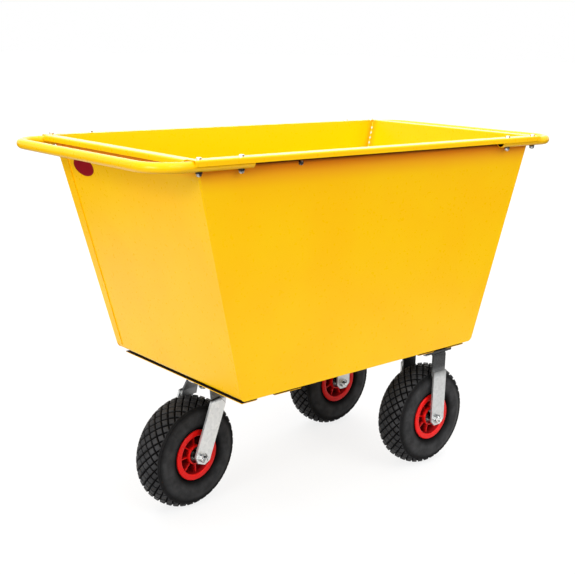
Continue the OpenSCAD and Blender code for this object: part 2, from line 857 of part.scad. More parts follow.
tub_pan();
left_side_panel();
right_side_panel();
front_cross_member();
rear_cross_member();
front_handle();
rear_handle();
handle_bolts();
handle_washers();
handle_nuts();
side_bolt();
side_nut();
badge_plate();
swivel_plate();
race_cover();
swivel_balls();
kingpin();
kingpin_washer();
kingpin_nut();
swivel_fork();
left_fixed_fork();
right_fixed_fork();
plate_bolts();
plate_nuts();
for (which = ["front", "left", "right"]) {
    axle_bolt(which);
    axle_nut(which);
    axle_spacers(which);
    rim(which);
    bearings(which);
    tyre(which);
    inner_tube(which);
}
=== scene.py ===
"""Looks of a three-wheeled tub cart: a powder-coated sheet-steel tub, zinc-plated casters and air-filled
tyres on red rims."""

import math

import bpy
import numpy as np
from mathutils import Matrix


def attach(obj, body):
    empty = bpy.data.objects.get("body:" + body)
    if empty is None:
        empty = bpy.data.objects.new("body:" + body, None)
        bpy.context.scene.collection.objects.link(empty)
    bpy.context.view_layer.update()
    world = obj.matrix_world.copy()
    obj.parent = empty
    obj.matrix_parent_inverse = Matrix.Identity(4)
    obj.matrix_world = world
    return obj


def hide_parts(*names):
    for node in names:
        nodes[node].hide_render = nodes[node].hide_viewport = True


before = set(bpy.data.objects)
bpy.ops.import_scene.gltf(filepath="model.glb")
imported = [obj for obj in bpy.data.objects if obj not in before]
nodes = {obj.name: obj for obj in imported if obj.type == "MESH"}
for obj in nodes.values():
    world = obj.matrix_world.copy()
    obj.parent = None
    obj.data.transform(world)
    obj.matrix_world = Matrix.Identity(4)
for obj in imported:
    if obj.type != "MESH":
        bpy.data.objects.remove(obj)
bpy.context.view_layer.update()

# Sizes of the part in millimetres, as in its source
MM = 0.001
SHEET, FLOOR_Z, LIP_FOOT, RIM_Z = 2.0, 323.0, 828.5, 840.5
FLOOR_HALF_LEN, FLOOR_HALF_WID = 370.0, 243.0
TOP_HALF_LEN, TOP_HALF_WID = 511.0, 271.5
END_RUN = (TOP_HALF_LEN - FLOOR_HALF_LEN) / (RIM_Z - FLOOR_Z)
SIDE_RUN = (TOP_HALF_WID - FLOOR_HALF_WID) / (RIM_Z - FLOOR_Z)
END_SKIN = SHEET * math.sqrt(1 + END_RUN ** 2)
SIDE_SKIN = SHEET * math.sqrt(1 + SIDE_RUN ** 2)
LAP_FLOOR, LAP_RIM = 20.0, 32.0
HANDLE_Y, HANDLE_Z, HANDLE_NUT_Z, HANDLE_BOLT_XS = 283.0, 827.75, 814.5, (511.0, 411.0)
TUBE_BORE, TUBE_MOUTH_X = 8.9, 480.0
SIDE_BOLT_X, SIDE_BOLT_DROP = -250.0, 22.0
KINGPIN = np.array([-295.0, 0.0, 0.0])
SWIVEL_ANGLE = math.radians(6.6)
TRAIL, AXLE_Z = 53.0, 130.0
ARM_IN, ARM_OUT, ARM_TOP, ARM_SHIFT, FORK_W = 52.0, 57.0, 257.0, 3.0, 46.0
ARM_PEAK, ARM_SLANT = 3.0, 14.0
REAR_X, REAR_Y = 273.0, 173.0
PLATE_Z, PLATE_GRIP, PLATE_HOLE_X, PLATE_HOLE_Y = 306.0, 16.2, 36.0, 40.0

# Fixings by thread: hexagon across its flats, head, nut, the bolt's tip above the nut, and half the shank
M6_FLATS, M6_HEAD, M6_NUT, M6_TIP, M6_R = 10.0, 3.9, 4.92, 1.8, 3.0
M8_FLATS, M8_HEAD, M8_R = 13.0, 5.2, 4.0
M12_FLATS, M12_HEAD, M12_NUT, M12_TIP, M12_R = 19.0, 7.8, 9.84, 3.6, 6.0

FORK_X = np.array([math.cos(SWIVEL_ANGLE), math.sin(SWIVEL_ANGLE), 0.0])
FORK_Y = np.array([-math.sin(SWIVEL_ANGLE), math.cos(SWIVEL_ANGLE), 0.0])
UP = np.array([0.0, 0.0, 1.0])
EAST, NORTH = np.array([1.0, 0.0, 0.0]), np.array([0.0, 1.0, 0.0])
WHEELS = {
    "front": (KINGPIN - TRAIL * FORK_X + AXLE_Z * UP, FORK_X, FORK_Y),
    "left": (np.array([REAR_X, -REAR_Y, AXLE_Z]), EAST, NORTH),
    "right": (np.array([REAR_X, REAR_Y, AXLE_Z]), EAST, NORTH),
}


def end_x(z):
    """Outer face of an end wall at height z: half the floor length plus the lean."""
    return FLOOR_HALF_LEN + (z - FLOOR_Z) * END_RUN


def side_y(z):
    """Outer face of a side panel at height z: half the floor width plus the lean."""
    return FLOOR_HALF_WID + (z - FLOOR_Z) * SIDE_RUN


def smooth(low, high, x):
    """Smooth step from 0 below low to 1 above high: 3t^2 - 2t^3."""
    t = np.clip((x - low) / (high - low), 0, 1)
    return t * t * (3 - 2 * t)


# Meshes

def loft(rings, closed):
    """Points and faces of a grid of rings: quads join ring to ring, each ring is closed on itself, and the
    last ring joins the first (closed) or both ends get a flat cap. Turned so that its volume is positive."""
    count, size = rings.shape[:2]
    points = rings.reshape(-1, 3)
    rows = np.arange(count if closed else count - 1)
    here = rows[:, None] * size + np.arange(size)[None]
    there = ((rows + 1) % count)[:, None] * size + np.arange(size)[None]
    quads = np.stack([here, np.roll(here, -1, 1), np.roll(there, -1, 1), there], -1).reshape(-1, 4)
    a, b, c, d = (points[quads[:, k]] for k in range(4))
    volume = np.sum(a * np.cross(b, c)) + np.sum(a * np.cross(c, d))
    caps = []
    if not closed:
        caps = [np.arange(size)[::-1], (count - 1) * size + np.arange(size)]
        for ring in caps:
            fan = points[ring]
            volume += np.sum(fan[0] * np.cross(fan[1:-1], fan[2:]))
    if volume < 0:
        quads = quads[:, ::-1]
        caps = [ring[::-1] for ring in caps]
    return points, [*quads.tolist(), *[ring.tolist() for ring in caps]]


def piece(name, parts, body, finish, sharp=40, stands_for=(), marks=None):
    """One object from lofted parts given in millimetres, smooth-shaded apart from edges above an angle in
    degrees. Marks are named values at its points, which its material reads."""
    points, faces, start = [], [], 0
    for part_points, part_faces in parts:
        points.append(part_points)
        faces.extend([[i + start for i in face] for face in part_faces])
        start += len(part_points)
    mesh = bpy.data.meshes.new(name)
    mesh.from_pydata((np.concatenate(points) * MM).tolist(), [], faces)
    mesh.polygons.foreach_set("use_smooth", np.ones(len(faces), bool))
    mesh.set_sharp_from_angle(angle=math.radians(sharp))
    mesh.materials.append(finish)
    for mark, values in (marks or {}).items():
        mesh.attributes.new(mark, "FLOAT", "POINT").data.foreach_set("value", values.ravel())
    made = bpy.data.objects.new(name, mesh)
    bpy.context.scene.collection.objects.link(made)
    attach(made, body)
    if stands_for:
        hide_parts(*stands_for)


def turned(radius, height, angles, centre, across, up, axis):
    """Rings of a turned shape: radius and height give the profile along the axis (radius may vary with the
    angle), across and up span the plane of turning."""
    radius = np.broadcast_to(np.asarray(radius), (len(height), len(angles)))
    spokes = np.cos(angles)[:, None] * across + np.sin(angles)[:, None] * up
    return centre + radius[..., None] * spokes[None] + np.asarray(height)[:, None, None] * axis


def swept(path, radius, sides=10):
    """Rings along a path: at each point a circle of the given radius, in the plane across the path. The
    circle's first direction is the path's tangent crossed with the axis that the path runs along least."""
    step = np.gradient(path, axis=0)
    tangent = step / np.linalg.norm(step, axis=1)[:, None]
    spread = np.ptp(path, axis=0)
    fixed = np.eye(3)[int(np.argmin(spread))]
    first = np.cross(tangent, fixed)
    first /= np.linalg.norm(first, axis=1)[:, None]
    second = np.cross(tangent, first)
    a = np.linspace(0, 2 * math.pi, sides, endpoint=False)
    ring = np.cos(a)[None, :, None] * first[:, None] + np.sin(a)[None, :, None] * second[:, None]
    return path[:, None] + np.asarray(radius)[:, None, None] * ring


def along(corners, spacing):
    """Points about one spacing apart along a line of corners."""
    corners = np.asarray(corners, float)
    lengths = np.r_[0, np.cumsum(np.linalg.norm(np.diff(corners, axis=0), axis=1))]
    s = np.linspace(0, lengths[-1], max(4, int(lengths[-1] / spacing)))
    return np.stack([np.interp(s, lengths, corners[:, k]) for k in range(3)], 1), s


def weld_bead(corners, radius, ripple=4.0):
    """A weld bead: a swept circle whose radius swells and shrinks by a tenth at each ripple, a cosine of the
    length, and narrows to fine ends with the root of the distance to them."""
    path, s = along(corners, 1.0)
    swell = 1 + 0.1 * np.cos(2 * math.pi * s / ripple)
    taper = np.sqrt(np.clip(np.minimum(s, s[-1] - s) / radius, 0.05, 1))
    return loft(swept(path, radius * swell * taper), False)


CHAMFER_SLOPE = 0.58  # tangent of 30 degrees


def fastener(centre, axis, across, flats, high, shank_r, below, nut=False):
    """A hexagon head with a turned chamfer on top and a shank below it, or a nut with the bolt's tip above
    it, both of the length that below gives. The radius is the smaller of the hexagon's side and a 30-degree
    cone; shank and tip are round."""
    up = np.cross(axis, across)
    angles = np.linspace(0, 2 * math.pi, 48, endpoint=False)
    hexagon = flats / 2 / np.cos((angles % (math.pi / 3)) - math.pi / 6)
    corner = flats / 2 / math.cos(math.pi / 6)
    flat_r = 0.94 * flats / 2
    cone_drop = 0.3 * (corner - flat_r)
    top = high - cone_drop * np.array([1.6, 0.8, 0.3, 0.0])
    cone = flat_r + (high - top) / CHAMFER_SLOPE
    radius = [hexagon, *np.minimum(hexagon, cone[:, None])]
    height = [0.0, *top]
    ones = np.ones(len(angles))
    if nut:
        radius += [(shank_r + 0.5) * ones, shank_r * ones, shank_r * ones, 0.75 * shank_r * ones]
        height += [high, high - 0.3, high + below - 0.5, high + below]
    else:
        radius = [0.75 * shank_r * ones, shank_r * ones, shank_r * ones, 0.97 * flats / 2 * ones] + radius
        height = [-below, -below + 0.6, -0.2, 0.0] + height
    return loft(turned(np.array(radius), np.array(height), angles, centre, across, up, axis), False)


# Materials

def linear(code):
    """An sRGB hex colour as linear RGBA."""
    c = np.array([int(code[i:i + 2], 16) / 255 for i in (1, 3, 5)])
    c = np.where(c <= 0.04045, c / 12.92, ((c + 0.055) / 1.055) ** 2.4)
    return (*c.tolist(), 1.0)


def add(tree, kind, settings=(), **inputs):
    """A node with its settings and inputs: a socket is linked, anything else is set as the input's value."""
    made = tree.nodes.new(kind)
    for key, value in dict(settings).items():
        setattr(made, key, value)
    for key, value in inputs.items():
        name = key.replace("_", " ")
        socket = made.inputs[int(key[1:])] if key[0] == "i" and key[1:].isdigit() else made.inputs[name]
        if isinstance(value, bpy.types.NodeSocket):
            tree.links.new(value, socket)
        else:
            socket.default_value = value
    return made


def material(name):
    """A new node material: its tree, its shader and the Object coordinates that its patterns read."""
    made = bpy.data.materials.new(name)
    made.use_nodes = True
    tree = made.node_tree
    shader = tree.nodes["Principled BSDF"]
    place = add(tree, "ShaderNodeTexCoord").outputs["Object"]
    return made, tree, shader, place


def per_metre(size_mm):
    """Noise scale for features of about that size."""
    return 1000.0 / size_mm


# Each of the next four gives two masks from 0 to 1: where a powder coat gets painted shade, and painted light

BRIM_GAP_FROM, BRIM_GAP_FULL = 313.2, 313.6
SIDE_SHADE, END_SHADE, SHADE_TOP, SHADE_CUT, SHADE_POWER = 60.0, 34.0, 3.0, 0.2, 1.6
CORNER_FROM, CORNER_FULL, CORNER_SHADE = 28.0, 2.0, 0.45
PAINTED_LIGHT_FADE, PAINTED_LIGHT_SHARE = 90.0, 0.85


def plain_all_over(tree, place):
    """No painted shade and no painted light."""
    return 0.0, 0.0


def above_brim(tree, place):
    """Painted shade in the narrow gap between a cross member's brim and the floor, from the middle of the
    brim's edge up."""
    apart = add(tree, "ShaderNodeSeparateXYZ", Vector=place)
    gap = add(tree, "ShaderNodeMapRange", Value=apart.outputs[2], From_Min=BRIM_GAP_FROM * MM,
              From_Max=BRIM_GAP_FULL * MM)
    return gap.outputs[0], 0.0


def in_tube(tree, place):
    """Painted shade in the bore of the tube at a handle's open mouths: within the bore's radius of the middle
    line of the handle's straight ends."""
    apart = add(tree, "ShaderNodeSeparateXYZ", Vector=place)
    width = add(tree, "ShaderNodeMath", {"operation": "ABSOLUTE"}, i0=apart.outputs[1])
    length = add(tree, "ShaderNodeMath", {"operation": "ABSOLUTE"}, i0=apart.outputs[0])
    end = add(tree, "ShaderNodeMath", {"operation": "LESS_THAN"}, i0=length.outputs[0], i1=TUBE_MOUTH_X * MM)
    flat = add(tree, "ShaderNodeCombineXYZ", Y=width.outputs[0], Z=apart.outputs[2])
    off = add(tree, "ShaderNodeVectorMath", {"operation": "DISTANCE"}, i0=flat.outputs[0],
              i1=(0.0, HANDLE_Y * MM, HANDLE_Z * MM))
    bore = add(tree, "ShaderNodeMath", {"operation": "LESS_THAN"}, i0=off.outputs["Value"],
               i1=TUBE_BORE * MM)
    inside = add(tree, "ShaderNodeMath", {"operation": "MULTIPLY"}, i0=bore.outputs[0], i1=end.outputs[0])
    return inside.outputs[0], 0.0


def in_folds(tree, place):
    """Painted shade close to the tub's folds: on the outer faces it grows with a power of the height over the
    last stretch under the lip, shorter on the end walls. On the inner faces, which lie one sheet inside the
    sloping outer ones, it is largest in each upright corner and falls off away from it. Painted light lies on
    the inner faces of the side panels, and less of it towards the end walls."""
    apart = add(tree, "ShaderNodeSeparateXYZ", Vector=place)
    width = add(tree, "ShaderNodeMath", {"operation": "ABSOLUTE"}, i0=apart.outputs[1])
    length = add(tree, "ShaderNodeMath", {"operation": "ABSOLUTE"}, i0=apart.outputs[0])
    side = add(tree, "ShaderNodeMath", {"operation": "MULTIPLY_ADD"}, i0=apart.outputs[2], i1=-SIDE_RUN,
               i2=width.outputs[0])
    end = add(tree, "ShaderNodeMath", {"operation": "MULTIPLY_ADD"}, i0=apart.outputs[2], i1=-END_RUN,
              i2=length.outputs[0])
    side = add(tree, "ShaderNodeMath", {"operation": "SUBTRACT"}, i0=side.outputs[0],
               i1=(FLOOR_HALF_WID - FLOOR_Z * SIDE_RUN) * MM)
    end = add(tree, "ShaderNodeMath", {"operation": "SUBTRACT"}, i0=end.outputs[0],
              i1=(FLOOR_HALF_LEN - FLOOR_Z * END_RUN) * MM)
    reach = add(tree, "ShaderNodeMath", {"operation": "MAXIMUM"}, i0=side.outputs[0], i1=end.outputs[0])
    outer = add(tree, "ShaderNodeMath", {"operation": "GREATER_THAN"}, i0=reach.outputs[0],
                i1=-SHEET / 2 * MM)
    on_end = add(tree, "ShaderNodeMath", {"operation": "GREATER_THAN"}, i0=end.outputs[0],
                 i1=side.outputs[0])
    start = add(tree, "ShaderNodeMapRange", Value=on_end.outputs[0], To_Min=(LIP_FOOT - SIDE_SHADE) * MM,
                To_Max=(LIP_FOOT - END_SHADE) * MM)
    near = add(tree, "ShaderNodeMapRange", Value=apart.outputs[2], From_Min=start.outputs[0],
               From_Max=(LIP_FOOT - SHADE_TOP) * MM)
    below = add(tree, "ShaderNodeMath", {"operation": "LESS_THAN"}, i0=apart.outputs[2],
                i1=(LIP_FOOT - SHADE_CUT) * MM)
    close = add(tree, "ShaderNodeMath", {"operation": "POWER"}, i0=near.outputs[0], i1=SHADE_POWER)
    lip = add(tree, "ShaderNodeMath", {"operation": "MULTIPLY"}, i0=close.outputs[0], i1=below.outputs[0])
    inmost = add(tree, "ShaderNodeMath", {"operation": "MINIMUM"}, i0=side.outputs[0], i1=end.outputs[0])
    corner = add(tree, "ShaderNodeMapRange", {"interpolation_type": "SMOOTHSTEP"}, Value=inmost.outputs[0],
                 From_Min=-CORNER_FROM * MM, From_Max=-CORNER_FULL * MM, To_Max=CORNER_SHADE)
    # Painted shade: under the lip on the outer faces, in each upright corner on the inner ones
    fold = add(tree, "ShaderNodeMix", {"data_type": "FLOAT"}, i0=outer.outputs[0], i2=corner.outputs[0],
               i3=lip.outputs[0])
    # Painted light: on the inner faces of the side panels, fading out towards the end walls
    to_end = add(tree, "ShaderNodeMath", {"operation": "SUBTRACT"}, i0=end.outputs[0], i1=side.outputs[0])
    to_end = add(tree, "ShaderNodeMapRange", {"interpolation_type": "SMOOTHSTEP"}, Value=to_end.outputs[0],
                 From_Min=-PAINTED_LIGHT_FADE * MM, From_Max=0.0)
    without_light = add(tree, "ShaderNodeMath", {"operation": "MAXIMUM"}, i0=outer.outputs[0], i1=to_end.outputs[0])
    painted_light = add(tree, "ShaderNodeMapRange", Value=without_light.outputs[0], To_Min=PAINTED_LIGHT_SHARE, To_Max=0.0)
    return fold.outputs[0], painted_light.outputs[0]


def powder_coat(name, where, dust_and_shade="#D26400", dark="#4A1C00"):
    """Polyester powder coat on sheet steel, baked: a smooth bright film with a faint orange peel. The peel is
    about 2 mm in life and is drawn at 7 mm, which is what shows at this distance. Where the first mask says,
    shade is painted on it in orange-brown, near black at its deepest. Where the second mask says, light is
    painted on it as a paler yellow."""
    made, tree, shader, place = material(name)
    cloud = add(tree, "ShaderNodeTexNoise", Vector=place, Scale=per_metre(180), Detail=3.0, Roughness=0.5)
    peel = add(tree, "ShaderNodeTexNoise", Vector=place, Scale=per_metre(7), Detail=2.0, Roughness=0.4)
    waves = add(tree, "ShaderNodeTexNoise", Vector=place, Scale=per_metre(240), Detail=0.0)
    tint = add(tree, "ShaderNodeMapRange", Value=cloud.outputs[0], From_Min=0.35, From_Max=0.65)
    colour = add(tree, "ShaderNodeMix", {"data_type": "RGBA"}, i0=tint.outputs[0],
                 i6=linear("#FFC200"), i7=linear("#FFC802"))
    painted_shade, painted_light = where(tree, place)
    # Painted light: a paler yellow
    colour = add(tree, "ShaderNodeMix", {"data_type": "RGBA"}, i0=painted_light, i6=colour.outputs[2],
                 i7=linear("#FFD200"))
    # Painted shade: orange-brown, and near black where it is deepest
    deep = add(tree, "ShaderNodeMapRange", Value=painted_shade, From_Min=0.76, From_Max=0.93)
    shade_colour = add(tree, "ShaderNodeMix", {"data_type": "RGBA"}, i0=deep.outputs[0], i6=linear(dust_and_shade),
               i7=linear(dark))
    colour = add(tree, "ShaderNodeMix", {"data_type": "RGBA"}, i0=painted_shade, i6=colour.outputs[2],
                 i7=shade_colour.outputs[2])
    gloss = add(tree, "ShaderNodeMapRange", Value=peel.outputs[0], To_Min=0.24, To_Max=0.34)
    gloss = add(tree, "ShaderNodeMath", {"operation": "MULTIPLY_ADD"}, i0=painted_shade, i1=0.6, i2=gloss.outputs[0])
    height = add(tree, "ShaderNodeMath", {"operation": "MULTIPLY_ADD"}, i0=waves.outputs[0], i1=14.0,
                 i2=peel.outputs[0])
    bump = add(tree, "ShaderNodeBump", Strength=0.25, Distance=0.00012, Height=height.outputs[0])
    tree.links.new(colour.outputs[2], shader.inputs["Base Color"])
    tree.links.new(gloss.outputs[0], shader.inputs["Roughness"])
    tree.links.new(bump.outputs[0], shader.inputs["Normal"])
    shader.inputs["IOR"].default_value = 1.5
    shader.inputs["Specular IOR Level"].default_value = 0.22
    return made


SHADE_DRIFT, LEG_FROM, LEG_FULL, LEG_STEP = 8.0, 243.0, 250.0, 4.0
FACE_IN, FACE_OUT = 52.1, 52.7


def zinc_strip(name, bright, grey, black, shade_from, shade_to, middle, axle):
    """Bright zinc plating on hot-rolled strip: pale grey metal with cloudy crystals of 6 mm and fine specks
    of 3 mm. Shade is painted on it between two heights in millimetres, up to the crown of the fork,
    and on the faces that look at the tyre, which lie within 52 mm of the fork's middle along its axle, or
    4 mm less above the arms, where the legs of the crown stand further in."""
    made, tree, shader, place = material(name)
    cloud = add(tree, "ShaderNodeTexVoronoi", {"feature": "F1"}, Vector=place, Scale=per_metre(6),
                Randomness=1.0)
    speck = add(tree, "ShaderNodeTexNoise", Vector=place, Scale=per_metre(3), Detail=4.0, Roughness=0.65)
    plain = add(tree, "ShaderNodeMix", {"data_type": "RGBA"}, i0=cloud.outputs["Color"],
                i6=linear(bright), i7=linear(grey))
    apart = add(tree, "ShaderNodeSeparateXYZ", Vector=place)
    drift = add(tree, "ShaderNodeMath", {"operation": "MULTIPLY_ADD"}, i0=speck.outputs[0],
                i1=SHADE_DRIFT * MM, i2=apart.outputs[2])
    high = add(tree, "ShaderNodeMapRange", {"interpolation_type": "SMOOTHSTEP"}, Value=drift.outputs[0],
               From_Min=(shade_from + SHADE_DRIFT / 2) * MM, From_Max=(shade_to + SHADE_DRIFT / 2) * MM,
               To_Max=0.94)
    off_middle = add(tree, "ShaderNodeVectorMath", {"operation": "SUBTRACT"}, i0=place, i1=middle * MM)
    along_axle = add(tree, "ShaderNodeVectorMath", {"operation": "DOT_PRODUCT"}, i0=off_middle.outputs[0],
                     i1=axle)
    out = add(tree, "ShaderNodeMath", {"operation": "ABSOLUTE"}, i0=along_axle.outputs["Value"])
    leg = add(tree, "ShaderNodeMapRange", Value=apart.outputs[2], From_Min=LEG_FROM * MM,
              From_Max=LEG_FULL * MM, To_Max=LEG_STEP * MM)
    reach = add(tree, "ShaderNodeMath", {"operation": "ADD"}, i0=out.outputs[0], i1=leg.outputs[0])
    inside = add(tree, "ShaderNodeMapRange", Value=reach.outputs[0], From_Min=FACE_IN * MM,
                 From_Max=FACE_OUT * MM, To_Min=0.9, To_Max=0.0)
    patch = add(tree, "ShaderNodeMapRange", Value=speck.outputs[0], From_Min=0.5, From_Max=0.72, To_Max=0.2)
    # Painted shade: near black, with grey patches
    shade_tone = add(tree, "ShaderNodeMix", {"data_type": "RGBA"}, i0=patch.outputs[0], i6=linear(black),
               i7=linear(grey))
    outside = add(tree, "ShaderNodeMix", {"data_type": "RGBA"}, i0=high.outputs[0], i6=plain.outputs[2],
                  i7=shade_tone.outputs[2])
    colour = add(tree, "ShaderNodeMix", {"data_type": "RGBA"}, i0=inside.outputs[0], i6=outside.outputs[2],
                 i7=shade_tone.outputs[2])
    rough = add(tree, "ShaderNodeMapRange", Value=speck.outputs[0], To_Min=0.28, To_Max=0.48)
    bump = add(tree, "ShaderNodeBump", Strength=0.2, Distance=0.00008, Height=speck.outputs[0])
    tree.links.new(colour.outputs[2], shader.inputs["Base Color"])
    tree.links.new(rough.outputs[0], shader.inputs["Roughness"])
    tree.links.new(bump.outputs[0], shader.inputs["Normal"])
    shader.inputs["Metallic"].default_value = 0.85
    return made


def zinc_fixings():
    """Zinc-plated cold-forged fixings: bright metal with dark patches at random, 9 mm across."""
    made, tree, shader, place = material("zinc_plated_fixings")
    dark_patch = add(tree, "ShaderNodeTexNoise", Vector=place, Scale=per_metre(9), Detail=3.0, Roughness=0.6)
    amount = add(tree, "ShaderNodeMapRange", {"interpolation_type": "SMOOTHSTEP"}, Value=dark_patch.outputs[0],
                 From_Min=0.47, From_Max=0.60)
    colour = add(tree, "ShaderNodeMix", {"data_type": "RGBA"}, i0=amount.outputs[0],
                 i6=linear("#D6D7D6"), i7=linear("#4C4E51"))
    rough = add(tree, "ShaderNodeMapRange", Value=dark_patch.outputs[0], To_Min=0.18, To_Max=0.40)
    tree.links.new(colour.outputs[2], shader.inputs["Base Color"])
    tree.links.new(rough.outputs[0], shader.inputs["Roughness"])
    shader.inputs["Metallic"].default_value = 0.9
    return made


def rubber(name, base, dust_and_shade):
    """Vulcanised black rubber from a mould: half matt, with a grey bloom in soft patches of 25 mm and a fine
    grain of 1.6 mm. Where a tyre's points are marked, painted shade turns it black and dull."""
    made, tree, shader, place = material(name)
    bloom = add(tree, "ShaderNodeTexNoise", Vector=place, Scale=per_metre(25), Detail=4.0, Roughness=0.6)
    grain = add(tree, "ShaderNodeTexNoise", Vector=place, Scale=per_metre(1.6), Detail=2.0)
    amount = add(tree, "ShaderNodeMapRange", Value=bloom.outputs[0], From_Min=0.38, From_Max=0.72)
    skin = add(tree, "ShaderNodeMix", {"data_type": "RGBA"}, i0=amount.outputs[0], i6=linear(base),
               i7=linear(dust_and_shade))
    groove = add(tree, "ShaderNodeAttribute", {"attribute_name": "groove"}).outputs["Fac"]
    # Painted shade: black where the tyre is marked, in the grooves, round the rim and under the shoulder
    colour = add(tree, "ShaderNodeMix", {"data_type": "RGBA"}, i0=groove, i6=skin.outputs[2],
                 i7=linear("#040404"))
    gloss = add(tree, "ShaderNodeMapRange", Value=bloom.outputs[0], To_Min=0.3, To_Max=0.5)
    dull = add(tree, "ShaderNodeMath", {"operation": "MULTIPLY_ADD", "use_clamp": True}, i0=groove, i1=0.5,
               i2=gloss.outputs[0])
    bump = add(tree, "ShaderNodeBump", Strength=0.3, Distance=0.00015, Height=grain.outputs[0])
    tree.links.new(colour.outputs[2], shader.inputs["Base Color"])
    tree.links.new(dull.outputs[0], shader.inputs["Roughness"])
    tree.links.new(bump.outputs[0], shader.inputs["Normal"])
    shader.inputs["IOR"].default_value = 1.52
    shader.inputs["Specular IOR Level"].default_value = 0.06
    return made


def moulded_red():
    """Polypropylene, injection moulded: bright red with a satin skin and faint flow clouds of 20 mm. Painted
    shade darkens the pockets between the ribs and the hub's recess, as marked on the rim's points."""
    made, tree, shader, place = material("red_moulded_plastic")
    flow = add(tree, "ShaderNodeTexNoise", Vector=place, Scale=per_metre(20), Detail=3.0)
    skin = add(tree, "ShaderNodeTexNoise", Vector=place, Scale=per_metre(2), Detail=2.0)
    unshaded_red = add(tree, "ShaderNodeMix", {"data_type": "RGBA"}, i0=flow.outputs[0],
                i6=linear("#DC0B0A"), i7=linear("#F2150F"))
    pocket = add(tree, "ShaderNodeAttribute", {"attribute_name": "pocket"}).outputs["Fac"]
    # Painted shade: dark red in the pockets and the hub's recess
    colour = add(tree, "ShaderNodeMix", {"data_type": "RGBA"}, i0=pocket, i6=unshaded_red.outputs[2],
                 i7=linear("#8E0E12"))
    gloss = add(tree, "ShaderNodeMapRange", Value=skin.outputs[0], To_Min=0.32, To_Max=0.44)
    bump = add(tree, "ShaderNodeBump", Strength=0.15, Distance=0.00008, Height=skin.outputs[0])
    tree.links.new(colour.outputs[2], shader.inputs["Base Color"])
    tree.links.new(gloss.outputs[0], shader.inputs["Roughness"])
    tree.links.new(bump.outputs[0], shader.inputs["Normal"])
    shader.inputs["IOR"].default_value = 1.49
    shader.inputs["Specular IOR Level"].default_value = 0.25
    return made


def steel(name, low, high, metallic, rough):
    """Steel with a dark or bright surface film: two tones in clouds of 4 mm."""
    made, tree, shader, place = material(name)
    cloud = add(tree, "ShaderNodeTexNoise", Vector=place, Scale=per_metre(4), Detail=3.0)
    tone = add(tree, "ShaderNodeMapRange", Value=cloud.outputs[0], From_Min=0.4, From_Max=0.62)
    colour = add(tree, "ShaderNodeMix", {"data_type": "RGBA"}, i0=tone.outputs[0], i6=linear(low),
                 i7=linear(high))
    gloss = add(tree, "ShaderNodeMapRange", Value=cloud.outputs[0], To_Min=rough - 0.06, To_Max=rough + 0.08)
    tree.links.new(colour.outputs[2], shader.inputs["Base Color"])
    tree.links.new(gloss.outputs[0], shader.inputs["Roughness"])
    shader.inputs["Metallic"].default_value = metallic
    return made


def badge_enamel():
    """Stove enamel on light-gauge steel: deep red with a satin skin, slightly cloudy over 12 mm."""
    made, tree, shader, place = material("dark_red_enamel")
    cloud = add(tree, "ShaderNodeTexNoise", Vector=place, Scale=per_metre(12), Detail=2.0)
    colour = add(tree, "ShaderNodeMix", {"data_type": "RGBA"}, i0=cloud.outputs[0],
                 i6=linear("#86101A"), i7=linear("#961822"))
    gloss = add(tree, "ShaderNodeMapRange", Value=cloud.outputs[0], To_Min=0.34, To_Max=0.44)
    tree.links.new(colour.outputs[2], shader.inputs["Base Color"])
    tree.links.new(gloss.outputs[0], shader.inputs["Roughness"])
    shader.inputs["Specular IOR Level"].default_value = 0.03
    return made


def painted_glints():
    """Painted glints in dabs: cream white and smooth, a little yellowed over 6 mm."""
    made, tree, shader, place = material("cream_painted_glints")
    cloud = add(tree, "ShaderNodeTexNoise", Vector=place, Scale=per_metre(6), Detail=2.0)
    colour = add(tree, "ShaderNodeMix", {"data_type": "RGBA"}, i0=cloud.outputs[0],
                 i6=linear("#F6F0DC"), i7=linear("#EFE3BE"))
    gloss = add(tree, "ShaderNodeMapRange", Value=cloud.outputs[0], To_Min=0.3, To_Max=0.45)
    tree.links.new(colour.outputs[2], shader.inputs["Base Color"])
    tree.links.new(gloss.outputs[0], shader.inputs["Roughness"])
    return made


YELLOW = powder_coat("yellow_powder_coat", plain_all_over)
# Painted shade under the lip and in the inner corners, and painted light on the inner faces of the side
# panels
TUB = powder_coat("yellow_powder_coat_with_painted_fold_shade", in_folds, dust_and_shade="#F27600")
# Painted shade: near black in the open mouths of the handle tubes
HANDLE = powder_coat("yellow_powder_coat_with_painted_bore_shade", in_tube, dark="#0C0703")
# Painted shade: near black in the gap over each cross member's brim
MEMBER = powder_coat("yellow_powder_coat_with_painted_gap_shade", above_brim, dark="#170D05")
# The fork strips get painted shade on the legs above the arms and on the faces towards the tyre
SWIVEL_STRIP = zinc_strip("zinc_plated_swivel_strip", "#E0E1E0", "#CDCFCF", "#66686A",
                          shade_from=252, shade_to=258, middle=KINGPIN, axle=FORK_Y)
LEFT_STRIP, RIGHT_STRIP = (
    zinc_strip(f"zinc_plated_{which}_strip", "#C6C7C7", "#B4B6B6", "#1A1B1D",
               shade_from=236, shade_to=270, middle=y * NORTH, axle=NORTH)
    for which, y in (("left", -REAR_Y), ("right", REAR_Y))
)
FIXINGS = zinc_fixings()
TREAD = rubber("black_tyre_rubber", "#29292A", "#3E3E3F")
TUBE = rubber("butyl_tube_rubber", "#1F1F20", "#2C2C2D")
RED = moulded_red()
BLACK = steel("black_oxide_steel", "#121213", "#1E1E20", 0.6, 0.5)
# Painted shade and painted glints: the bearings and spacers in the hub's recess are near black with lighter
# clouds
BEARING = steel("bearing_steel_with_painted_shade_and_glints", "#0A0A0A", "#868684", 1.0, 0.22)
WELD = steel("weld_steel", "#242527", "#4A4C4F", 0.8, 0.45)
ENAMEL = badge_enamel()
GLINT_WHITE = painted_glints()

